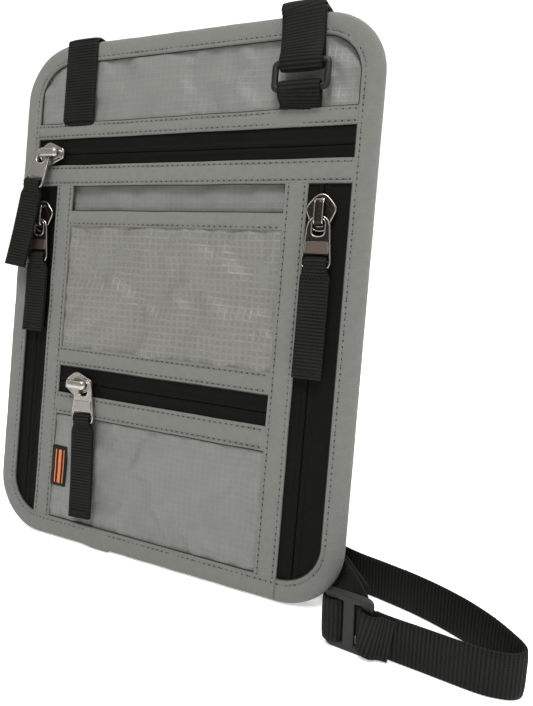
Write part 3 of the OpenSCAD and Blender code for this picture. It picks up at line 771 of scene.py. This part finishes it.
def panel(name, node, x, z, depth, material, grow, hold, low, high, seed, hem=None, step=1.6,
          flattened=None):
    """A sewn panel between x and z that stands for a node.

    It grows and holds its creases in the simulation, low and high cap how far it may stand out of
    its own plane, and hem keeps it inside the pouch's rounded corners.
    """
    columns, rows = round((x[1] - x[0]) / step), round((z[1] - z[0]) / step)
    flat = [(x[0] + (x[1] - x[0]) * k / columns, z[0] + (z[1] - z[0]) * i / rows)
            for i in range(rows + 1) for k in range(columns + 1)]
    faces = grid_faces(rows + 1, columns + 1)
    big = 10 * MM           # the simulation runs at ten times the size
    start = []
    for px, pz in flat:
        swell = noise.fractal(Vector((px * 0.07 + seed, pz * 0.05, seed)), 1.0, 2.0, 3)
        start.append(Vector((px * big, 0.3 * big * swell, pz * big)))
    if grow:
        mesh = bpy.data.meshes.new(name + "_slack")
        mesh.from_pydata(start, [], faces)
        scratch = bpy.data.objects.new(name + "_slack", mesh)
        bpy.context.collection.objects.link(scratch)
        start = creased(scratch, columns, rows, grow, hold)
        bpy.data.objects.remove(scratch)
    verts = []
    for p, (fx, fz) in zip(start, flat):
        px, pz = p.x / big, p.z / big
        if hem is not None:
            px, pz = inside_outline(px, pz, hem)
        edge = smooth(0, 5, min(fx - x[0], x[1] - fx, fz - z[0], z[1] - fz))
        if flattened:           # pressed in under a label, given as its x, z and reach
            edge *= 1 - 0.9 * bump_at(math.dist((fx, fz), flattened[:2]), flattened[2])
        verts.append((px, depth + min(max(p.y / big, low), high) * edge, pz))
    obj = piece(name, verts, faces, material, uvs=flat, sharp=180.0)
    obj.modifiers.new("soft", "SUBSURF").levels = 1
    obj.modifiers["soft"].render_levels = 1
    stands_for(obj, "ripstop_grey", node)


full_x, hem = (-POUCH_W / 2 + 3, POUCH_W / 2 - 3), 3.2
pocket_x = (-52, 48.4)
panel("top_cloth", "top_panel", full_x, (165.1, 197), 0.95, PANEL, 0.02, 1.2, -0.5, 0.9, 1.0, hem)
panel("slip_pocket_cloth", "slip_pocket_panel", pocket_x, (72.6, 130), 0.9, SATIN, 0.035, 0.8,
      -1.0, 1.6, 4.0)
panel("recess_cloth", "centre_back_panel", pocket_x, (73, 147), 2.75, PANEL, 0.01, 1.0, -0.3, 0.3, 2.0)
panel("lower_pocket_cloth", "lower_pocket_panel", pocket_x, (4, 53.3), 0.9, PANEL, 0.03, 1.0,
      -0.7, 1.4, 9.0, flattened=(-48.0, 28.0, 11.0))
panel("back_cloth", "back_panel", full_x, (3, 197), 5.9, PANEL, 0.012, 2.0, -0.6, 0.7, 6.0, hem,
      step=2.5)


# ------------------------ zips
# Half a zip from its seam outwards: (distance from the seam, depth). The coil rounds the folded edge.
ZIP_HALF = [(0.02, 1.45), (0.1, 1.0), (0.3, 0.72), (0.7, 0.58), (1.2, 0.56), (1.7, 0.64), (2.1, 0.84),
            (2.35, 1.0), (2.7, 0.96), (3.4, 0.92), (4.4, 0.95)]
COIL_PITCH = 1.25


def zip_tape(node, seam, ends, reach, upright):
    """Both halves of a zip in one piece. reach is how far each half goes from the seam."""
    verts, uvs, faces = [], [], []
    start, run = ends[0], ends[1] - ends[0]
    count = round(run / 0.32)
    for sign, far in zip((-1, 1), reach):
        profile = ZIP_HALF + [(far, 1.0)]
        base = len(verts)
        for i in range(count + 1):
            l = start + run * i / count
            for d, depth in profile:
                tooth = math.cos(2 * math.pi * (l / COIL_PITCH + 0.25 * sign))
                raised = 0.07 * tooth * bump_at(d - 1.0, 0.8)
                stitch = 0.05 * math.cos(2 * math.pi * l / 2.0) * bump_at(d - 2.35, 0.3)
                drift = 0.18 * noise.noise(Vector((l * 0.05, seam, 1.0)))
                across = seam + sign * d + drift
                wave = 0.12 * noise.noise(Vector((l * 0.07, d * 0.1, seam)))
                x, z = inside_outline(*((across, l) if upright else (l, across)), 4.0)
                verts.append((x, depth - raised + stitch + wave, z))
                uvs.append((d, l))
        faces += [tuple(base + v for v in f) for f in grid_faces(count + 1, len(profile))]
    obj = piece("cloth_" + node, verts, faces, ZIP_TAPE, uvs=uvs)
    return stands_for(obj, "zip_tape_black", node)


zip_tape("top_zip_tape", TOP_SEAM_Z, (-69, 69), (6.0, 8.0), False)
zip_tape("left_zip_tape", LEFT_SEAM_X, (5, 148), (8.0, 7.5), True)
zip_tape("right_zip_tape", RIGHT_SEAM_X, (5, 148), (7.5, 11.0), True)
zip_tape("lower_zip_tape", LOWER_SEAM_Z, (-52, 48), (6.5, 8.0), False)

# ------------------------ sliders and pulls
# A slider's outline with its nose up, as (half width, height)
SHIELD = [(0.0, 6.35), (1.2, 6.1), (2.4, 5.3), (3.8, 3.8), (4.9, 2.3), (5.2, 1.3), (5.0, 0.4),
          (4.2, -1.4), (3.3, -3.2), (2.7, -4.6), (2.2, -5.7), (1.2, -6.1), (0.0, -6.2)]


def mirrored(half):
    return half + [(-x, z) for x, z in reversed(half[1:-1])]


def slider(name, x, z, sideways, body_material, rim_material, slot):
    """A zip's slider with its nose up, or to the left where sideways, and the bridge over its back."""
    turn = Matrix.Rotation(-math.pi / 2, 4, "Y") if sideways else Matrix.Identity(4)
    place = STAND @ Matrix.Translation((x, 0, z)) @ turn
    narrower = 0.88 if sideways else 1.0
    shield = rounded(mirrored([(px * narrower, pz) for px, pz in SHIELD]), 0.8, 3)

    def plate(tag, loop, half_t, bevel, material, y, *nodes):
        at = place @ Matrix.Translation((0, y, 0))
        stands_for(cutout(name + tag, [loop], half_t, bevel, material, name, at), slot, *nodes)

    plate("_plate", shield, 0.4, 0.18, body_material, -0.72, name)
    shown = [(px * 0.97, -1.08, pz * 0.975) for px, pz in shield]
    stands_for(wire(name + "_rim", shown, 0.3, rim_material, name, place), slot)
    plate("_boss", [(px * 0.62, pz * 0.66 - 0.2) for px, pz in shield], 0.16, 0.12, body_material, -1.16)
    plate("_under", [(px * 0.82, pz * 0.88) for px, pz in shield], 0.28, 0.12, body_material, 3.1)
    plate("_post", rounded_box(-0.35, 0.35, 1.5, 4.5, 0.15, 3), 1.6, 0.05, body_material, 1.25)
    arch = catmull([[0, -0.9, 4.05], [0, -1.9, 4.1], [0, -3.0, 3.95], [0, -3.65, 3.2], [0, -3.78, 1.6],
                    [0, -3.8, 0], [0, -3.78, -1.6], [0, -3.65, -3.2], [0, -3.0, -3.95], [0, -1.9, -4.1],
                    [0, -0.9, -4.05]], 0.35)
    bridge = wire(name + "_bridge", arch, 0.5, body_material, name, place, closed=False, sides=12)
    for v in bridge.data.vertices:      # flattened into a strap about 3 mm wide
        local = place.inverted() @ v.co
        local.x *= 3.0
        v.co = place @ local
    stands_for(bridge, slot)
    for side, tag in ((-1.42, "_bridge_lip_left"), (1.42, "_bridge_lip_right")):
        lip = [(side, y - 0.12 * (abs(z) < 3.9), z * 1.01) for _, y, z in arch]
        stands_for(wire(name + tag, lip, 0.22, rim_material, name, place, closed=False, sides=8), slot)
    plate("_bridge_cap", rounded_box(-1.45, 1.45, 2.9, 4.0, 0.45, 4), 0.3, 0.2, rim_material, -3.55)
    for middle, tag in ((-4.2, "_foot_low"), (4.2, "_foot_high")):
        foot = rounded_box(-1.15, 1.15, middle - 0.5, middle + 0.5, 0.45, 4)
        plate(tag, foot, 0.2, 0.12, rim_material, -1.3)


def hang_upright(x, z):
    """Where a pull hangs straight down from a slider at x, z."""
    return STAND @ Matrix.Translation((x, PULL_Y, z - 1.7))


def hang_sideways(x, z, swing, out):
    """Where a pull hangs from a sideways slider, swung along the zip and tipped off the cloth."""
    return STAND @ Matrix.Translation((x, PULL_Y, z)) @ Matrix.Rotation(math.radians(swing), 4, "Y") \
        @ Matrix.Rotation(math.radians(-out), 4, "X") @ Matrix.Translation((0, 0, 1.95))


# The pull's outline from its eye down to the tip of a prong, as (half width, height)
PULL_HALF = [(0.0, 0.55), (1.6, 0.25), (2.9, -0.6), (3.7, -1.9), (4.0, -3.4), (4.15, -5.0), (4.3, -6.6),
             (4.45, -8.2), (4.65, -10.0), (4.85, -12.0), (5.05, -14.0), (5.0, -15.2), (4.6, -16.2),
             (4.3, -16.3), (4.2, -15.9), (4.4, -15.0), (4.35, -13.8), (4.2, -12.6), (4.05, -12.2),
             (0.0, -12.2)]
OUTER_POINTS = 14       # how many of them run down the outside to the tip


def pull(name, place, body_material, rim_material, plate_material, slot):
    """A pull with an eye, a plate below it, and two prongs that hold the bar for the webbing."""
    def rod(tag, path, radius, material, closed=False, sides=10):
        bar = wire(name + tag, path, radius, material, name, place, closed=closed, sides=sides)
        stands_for(bar, slot)

    half = catmull([[x, z, 0] for x, z in PULL_HALF[:-1]], 0.5)
    outline = mirrored([(p[0], p[1]) for p in half] + [PULL_HALF[-1]])
    hole = rounded_box(-2.2, 2.2, -0.6, -6.2, 2.2, 8)
    frame_piece = cutout(name + "_frame", [outline, hole], 0.33, 0.16, body_material, name, place)
    stands_for(frame_piece, slot, name)
    outer = catmull([[x, z, 0] for x, z in PULL_HALF[:OUTER_POINTS]], 0.5)
    rim = [(side * p[0] * 0.965, -0.3, p[1] - 0.12) for side, part in ((-1, outer[::-1]), (1, outer[1:]))
           for p in part]
    rod("_rim", rim, 0.27, rim_material)
    eye = [(x * 1.08, -0.3, (z + 3.4) * 1.06 - 3.4) for x, z in hole]
    rod("_eye", eye, 0.25, rim_material, closed=True)
    cross = rounded([(-3.75, -8.1), (3.75, -8.1), (4.1, -11.9), (-4.1, -11.9)], 0.5, 4)
    at = place @ Matrix.Translation((0, -0.4, 0))
    stands_for(cutout(name + "_cross_plate", [cross], 0.18, 0.1, plate_material, name, at), slot)
    for side, tag in ((-1, "_plate_edge_left"), (1, "_plate_edge_right")):
        edge = [(side * (3.8 + 0.35 * t), -0.55, -8.2 - 3.6 * t) for t in (0.0, 0.25, 0.5, 0.75, 1.0)]
        rod(tag, edge, 0.17, rim_material, sides=8)
    rod("_bar", [(x, 0, BAR_Z) for x in (-4.75, -4.2, -2, 0, 2, 4.2, 4.75)], 0.5, body_material)


def webbing_tab(name, place, length, lean_in=0.0):
    """Webbing folded over the pull's bar and sewn to itself, with a row of bar tacks."""
    layer, turn = 0.42, 1.12
    at = place @ Matrix.Translation((0, 0, BAR_Z)) @ Matrix.Rotation(math.radians(lean_in), 4, "X")
    loop = [(-turn * math.cos(math.pi * i / 8), turn * math.sin(math.pi * i / 8)) for i in range(9)]
    back = [(turn - 0.1, -1.4), (layer + 0.12, -3.4), (layer, -6), (layer, -length * 0.6),
            (layer, -length)]
    path = [(-y, z) for y, z in reversed(back)] + loop + back
    bow = [[0.0, y + 0.35 * math.sin(math.pi * min(-z / length, 1.0)) if z < 0 else y, z, 1, 0, 0]
           for y, z in path]
    route = catmull(bow, 0.21)
    total = length_of(route) / MM

    def width(run):
        down = min(run, total - run)            # run from either free end, narrower between the prongs
        return 10.2 - 2.4 * smooth(length - 5.5, length - 2.2, down)

    obj = band(name + "_webbing", route, 10.2, 0.78, 1.05, 0.09, WEBBING, name, at, taper=width)
    stands_for(obj, "webbing_black", name)
    tacks = [((-3.4 + 0.62 * k, -layer - 0.42, z), (0.35, 0, 0.94 if k % 2 else -0.94), -1.0)
             for z in (-5.4, -length + 2.2) for k in range(12)]
    sewn(name + "_tacks", tacks, 1.5, 0.17, BLACK_THREAD, "webbing_black", name, at)


for side, seam_x, slider_z, tab_l in (
        ("left", LEFT_SEAM_X, 130.0, 31.0),
        ("right", RIGHT_SEAM_X, 132.6, 39.0)):
    hang = hang_upright(seam_x, slider_z)
    # The gunmetal sliders and pulls wear that bright copy of the gunmetal on their rims, lips, caps,
    # feet, eyes and plate edges: painted highlight.
    slider(side + "_slider", seam_x, slider_z, False, GUNMETAL, GUN_HIGHLIGHT, "gunmetal")
    pull(side + "_pull", hang, GUNMETAL, GUN_HIGHLIGHT, GUN_PLATE, "gunmetal")
    webbing_tab(side + "_pull_tab", hang, tab_l)
for side, slider_x, seam_z, leg, swing, out, tab_out, tab_l in (
        ("top", -59.2, TOP_SEAM_Z, -3.4, 7.0, 12.0, 4.0, 35.0),
        ("lower", -36.5, LOWER_SEAM_Z, 3.4, -3.0, 0.0, 0.0, 39.5)):
    hang = hang_sideways(slider_x + leg, seam_z, swing, out)
    slider(side + "_slider", slider_x, seam_z, True, NICKEL, NICKEL, "nickel")
    pull(side + "_pull", hang, NICKEL, NICKEL, SATIN_NICKEL, "nickel")
    webbing_tab(side + "_pull_tab", hang, tab_l, lean_in=out - tab_out)

# ------------------------ ring, folded tab and sewn end
RING_Y, RING_LOW_Z, RING_TOP_Z, RING_IN_W = -3.3, 173.8, 182.4, 16.2
half_ring = RING_IN_W / 2 + 1.2
ring_path = rounded_box(-half_ring, half_ring, RING_LOW_Z, RING_TOP_Z, 1.6, 5)
ring_path = [(a[0] + (b[0] - a[0]) * n / 4, a[1] + (b[1] - a[1]) * n / 4)
             for a, b in zip(ring_path, ring_path[1:] + ring_path[:1]) for n in range(4)]
ring = wire("ring_bar", [(x + STRAP_X + 0.8, RING_Y, z) for x, z in ring_path], 1.2, PLASTIC,
            "strap_ring", STAND, squash=0.72, sides=16)
stands_for(ring, "plastic_black", "strap_ring")

fold = 1.9              # radius of the webbing's turn round the ring's bar
turn = [(RING_Y - fold * math.cos(math.pi * i / 8), RING_LOW_Z + fold * math.sin(math.pi * i / 8))
        for i in range(1, 8)]
tab_path = [(0.5, 167.6), (-0.6, 169.0), (-3.2, 170.4), (-4.9, 172.6),
            (RING_Y - fold, RING_LOW_Z - 0.4), *turn, (RING_Y + fold, RING_LOW_Z - 0.4),
            (-1.3, 172.2), (-0.5, 169.8), (0.6, 167.4)]
tab_route = catmull([[STRAP_X + 0.7 * smooth(167, 172, z), y, z, 1, 0, 0] for y, z in tab_path], 0.23)
ring_fold = band("ring_fold", tab_route, STRAP_W, STRAP_T - 0.1, RIB, 0.09, WEBBING, place=STAND,
                 taper=lambda run: 15.0 - 0.7 * smooth(6.0, 1.0, run))
stands_for(ring_fold, "webbing_black", "ring_tab")
end_path = ((0.75, 166.6), (0.2, 167.6), (-0.5, 168.6), (-0.85, 170.2))
end_route = catmull([[-STRAP_X, y, z, 1, 0, 0] for y, z in end_path], 0.23)
sewn_end = band("sewn_strap_end", end_route, STRAP_W, STRAP_T - 0.15, RIB, 0.09, WEBBING, place=STAND)
stands_for(sewn_end, "webbing_black", "strap_sewn_end")

# ------------------------ slide on the strap
slide_place = WORLD @ Matrix.Translation(SLIDE_AT) @ Matrix.Rotation(SLIDE_TURN, 4, "Z")
frame_outline = rounded_box(-6.8, 6.8, -9.3, 9.3, 1.6, 5)
slots = [rounded_box(c - 1.6, c + 1.6, -8, 8, 0.7, 4) for c in (-2.9, 2.9)]
buckle = cutout("slide_frame", [frame_outline] + slots, 1.05, 0.6, PLASTIC, "strap_slide",
                slide_place, 4)
stands_for(buckle, "plastic_black", "strap_slide")
# The webbing laps the left bar, and comes out over the right one: (x, y, z), clear of the strap behind
LAP = [(-2.6, 0.6, 0), (-3.0, -0.5, 0), (-3.9, -1.4, 0), (-5.6, -1.95, 0), (-7.4, -1.5, 0),
       (-8.1, -0.4, 0), (-7.9, 0.6, 0)]
OVER = [(2.6, 0.6, -0.2), (3.0, -0.5, -0.3), (3.9, -1.4, -0.5), (5.6, -1.95, -0.9), (7.6, -1.5, -1.4),
        (9.8, -0.2, -1.9), (12.8, 0.55, -2.3)]
for title, way, nodes in (("slide_wrap", LAP, ["strap_slide_wrap"]), ("slide_front_layer", OVER, [])):
    layer = band(title, catmull([[*p, 0, 0, 1] for p in way], 0.23), STRAP_W - 0.2, 1.1, RIB, 0.12,
                 WEBBING, "strap_slide", slide_place)
    stands_for(layer, "webbing_black", *nodes)

# ------------------------ woven label with plain stripes
LABEL_X, LABEL_Z = LEFT_TRIM_X[1] - 0.6, (20.5, 37.0)
LABEL_SPAN = 7.6        # its width, with the edge that is tucked under the trim


def label_lift(across, x, z):
    """How far the label stands off the cloth, in mm: bowed across its width, and a little uneven."""
    return 0.16 * math.sin(math.pi * across) + 0.12 * noise.noise(Vector((x * 0.3, z * 0.2, 5)))


verts, uvs = [], []
for i in range(34):
    z = LABEL_Z[0] + (LABEL_Z[1] - LABEL_Z[0]) * i / 33
    for k in range(15):
        x = LABEL_X + LABEL_SPAN * k / 14
        inset = min(x - LABEL_X + 0.3, LABEL_X + LABEL_SPAN - x, z - LABEL_Z[0], LABEL_Z[1] - z)
        verts.append((x, 0.5 - 0.5 * smooth(0, 0.5, inset) - label_lift(k / 14, x, z), z))
        uvs.append((x, z))
label = piece("woven_label", verts, grid_faces(34, 15), LABEL, uvs=uvs)
stands_for(label, "label_black", "side_label")
stripes, stripe_uvs, stripe_faces = [], [], []
for x0, x1 in ((-46.3, -45.8), (-44.7, -43.3), (-42.4, -42.0)):
    base = len(stripes)
    for i in range(25):
        z = 22.0 + 13.5 * i / 24
        for k in range(5):
            x = x0 + (x1 - x0) * k / 4
            crown = 0.05 + 0.03 * math.sin(math.pi * k / 4)
            stripes.append((x, -label_lift((x - LABEL_X) / LABEL_SPAN, x, z) - crown, z))
            stripe_uvs.append((x, z))
    stripe_faces += [tuple(base + v for v in f) for f in grid_faces(25, 5)]
stands_for(piece("label_stripes", stripes, stripe_faces, ORANGE, uvs=stripe_uvs), "label_black")

# ------------------------ hidden parts keep their CAD shapes
for name, obj in frame["nodes"].items():
    slot = next((s["material_slot"] for s in frame["record"]["subparts"] if s["node"] == name), None)
    if slot in SLOT_MATERIALS:
        obj.data.materials.clear()
        obj.data.materials.append(SLOT_MATERIALS[slot])
